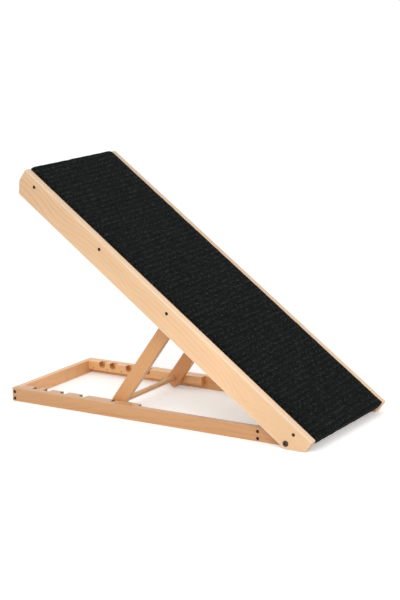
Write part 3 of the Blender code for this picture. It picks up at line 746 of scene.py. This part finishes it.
def cloth_faces(rows, columns):
    """The faces of a closed cloth whose outer points come first and whose inner points follow."""

    def at(i, j, side):
        return i * columns + j + side * rows * columns

    faces = []
    for i in range(rows - 1):
        for j in range(columns - 1):
            faces.append((at(i, j, 0), at(i + 1, j, 0), at(i + 1, j + 1, 0), at(i, j + 1, 0)))
            faces.append((at(i, j, 1), at(i, j + 1, 1), at(i + 1, j + 1, 1), at(i + 1, j, 1)))
    k = columns - 1
    for i in range(rows - 1):
        faces.append((at(i, 0, 0), at(i, 0, 1), at(i + 1, 0, 1), at(i + 1, 0, 0)))
        faces.append((at(i, k, 0), at(i + 1, k, 0), at(i + 1, k, 1), at(i, k, 1)))
    k = rows - 1
    for j in range(columns - 1):
        faces.append((at(0, j, 0), at(0, j + 1, 0), at(0, j + 1, 1), at(0, j, 1)))
        faces.append((at(k, j, 0), at(k, j, 1), at(k, j + 1, 1), at(k, j + 1, 0)))
    return faces


def make_carpet():
    """The mat as one closed cloth, its faint cross rows and uneven pile in the mesh."""
    path = mat_path()
    rows = len(path)
    lengths = [0.0]
    for a, b in zip(path, path[1:]):
        lengths.append(lengths[-1] + (b - a).length)
    run = np.array(lengths)
    normals = []
    for i in range(rows):
        along = (path[min(rows - 1, i + 1)] - path[max(0, i - 1)]).normalized()
        normals.append(Vector((-along.y, along.x)))

    half = DECK_INNER - GAP - EDGE_CLEAR
    near_edge = np.array(EDGE_STEPS)
    ys = np.linspace(-half, half, COLUMNS)
    ys = np.sort(np.concatenate((ys, near_edge - half, half - near_edge)))
    # 1 on top of the panel, 0 at its ends and under it, and softened over a few rows
    level = np.array([point.y > MAT_HIGH - LEVEL_SLACK for point in path], dtype=float)
    level = np.pad(level, OVERLAP_ROWS // 2, mode="edge")
    level = np.convolve(level, np.ones(OVERLAP_ROWS) / OVERLAP_ROWS, "valid")
    wide = 1 + MAT_OVERLAP / half * level
    height = pile_heights(run, ys, half)

    outer, inner = [], []
    for i in range(rows):
        for j, y in enumerate(ys):
            p = path[i] + normals[i] * float(height[i, j])
            q = path[i] - normals[i] * (MAT_THICK - INNER_SINK)
            outer.append(deck_point(p.x, y * wide[i], p.y))
            inner.append(deck_point(q.x, y * wide[i], q.y))
    mesh = bpy.data.meshes.new("carpet_ribbed")
    mesh.from_pydata([tuple(p) for p in outer + inner], [], cloth_faces(rows, len(ys)))
    mesh.update()
    work = bmesh.new()
    work.from_mesh(mesh)
    bmesh.ops.recalc_face_normals(work, faces=work.faces)
    work.to_mesh(mesh)
    work.free()
    for face in mesh.polygons:
        face.use_smooth = True
    mesh.set_sharp_from_angle(angle=CREASE_ANGLE)
    mesh.materials.append(make_carpet_material())
    carpet = bpy.data.objects.new("carpet_ribbed", mesh)
    scene.collection.objects.link(carpet)
    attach(carpet, "deck")
    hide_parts("carpet_mat")


WHITE = (1.0, 1.0, 1.0, 1.0)
FLOOR_COLOUR = (0.93, 0.93, 0.93, 1.0)
FLOOR_SIZE = 30.0
FLOOR_DROP = 0.0005
# What the floor adds to its own light where it is seen, so that it shows white
FLOOR_LIFT = 0.30
WORLD_LIGHT = 0.80

# Each lamp's place, its width and height, and its power; both aim at the ramp
LAMPS = {
    "key": ((0.9, -2.3, 3.2), (2.2, 1.6), 30.0),
    "fill": ((2.1, -2.1, 1.3), (1.4, 1.4), 15.0),
}
LAMP_AIM = (0.1, 0.0, 0.2)


def make_lamp(name, place, size, power):
    data = bpy.data.lights.new(name, "AREA")
    data.shape = "RECTANGLE"
    data.size, data.size_y = size
    data.energy = power
    light = bpy.data.objects.new(name, data)
    light.location = place
    direction = Vector(LAMP_AIM) - Vector(place)
    light.rotation_mode = "QUATERNION"
    light.rotation_quaternion = direction.to_track_quat("-Z", "Y")
    scene.collection.objects.link(light)


def seen_directly(tree):
    """1 for rays from the camera, off glossy surfaces and through clear ones."""
    path = tree.nodes.new("ShaderNodeLightPath")
    share = path.outputs["Is Camera Ray"]
    for kind in ("Is Glossy Ray", "Is Transmission Ray"):
        either = tree.nodes.new("ShaderNodeMath")
        either.operation = "MAXIMUM"
        tree.links.new(share, either.inputs[0])
        tree.links.new(path.outputs[kind], either.inputs[1])
        share = either.outputs[0]
    return share


def make_floor():
    """A white floor with the ramp's shadow, clear from below so that the underside can be seen."""
    s = Shader("floor_paint")
    s.fix({"Base Color": FLOOR_COLOUR, "Roughness": 0.9, "Specular IOR Level": 0.0})
    s.fix({"Emission Color": WHITE})
    glow = s.math("MULTIPLY", seen_directly(s.tree), FLOOR_LIFT)
    s.link(glow, s.surface.inputs["Emission Strength"])
    choice = s.node("MixShader")
    s.link(s.node("NewGeometry").outputs["Backfacing"], choice.inputs[0])
    s.link(s.surface.outputs[0], choice.inputs[1])
    s.link(s.node("BsdfTransparent").outputs[0], choice.inputs[2])
    s.link(choice.outputs[0], s.output.inputs["Surface"])

    work = bmesh.new()
    bmesh.ops.create_grid(work, x_segments=1, y_segments=1, size=FLOOR_SIZE)
    mesh = bpy.data.meshes.new("floor")
    work.to_mesh(mesh)
    work.free()
    mesh.materials.append(s.material)
    floor = bpy.data.objects.new("floor", mesh)
    floor.location = (0.0, 0.0, -FLOOR_DROP)
    scene.collection.objects.link(floor)


def make_world():
    """Plain soft light that shows as white where it is seen."""
    world = bpy.data.worlds.new("studio")
    world.use_nodes = True
    tree = world.node_tree
    light = tree.nodes["Background"]
    light.inputs["Color"].default_value = WHITE
    light.inputs["Strength"].default_value = WORLD_LIGHT
    white = tree.nodes.new("ShaderNodeBackground")
    white.inputs["Color"].default_value = WHITE
    white.inputs["Strength"].default_value = 1.0
    choice = tree.nodes.new("ShaderNodeMixShader")
    tree.links.new(seen_directly(tree), choice.inputs[0])
    tree.links.new(light.outputs[0], choice.inputs[1])
    tree.links.new(white.outputs[0], choice.inputs[2])
    tree.links.new(choice.outputs[0], tree.nodes["World Output"].inputs["Surface"])
    scene.world = world


make_camera()
dress_wood()
dress_metal()
make_carpet()
make_floor()
make_world()
for lamp_name, (lamp_place, lamp_size, lamp_power) in LAMPS.items():
    make_lamp(lamp_name, lamp_place, lamp_size, lamp_power)

scene.view_settings.view_transform = "Standard"
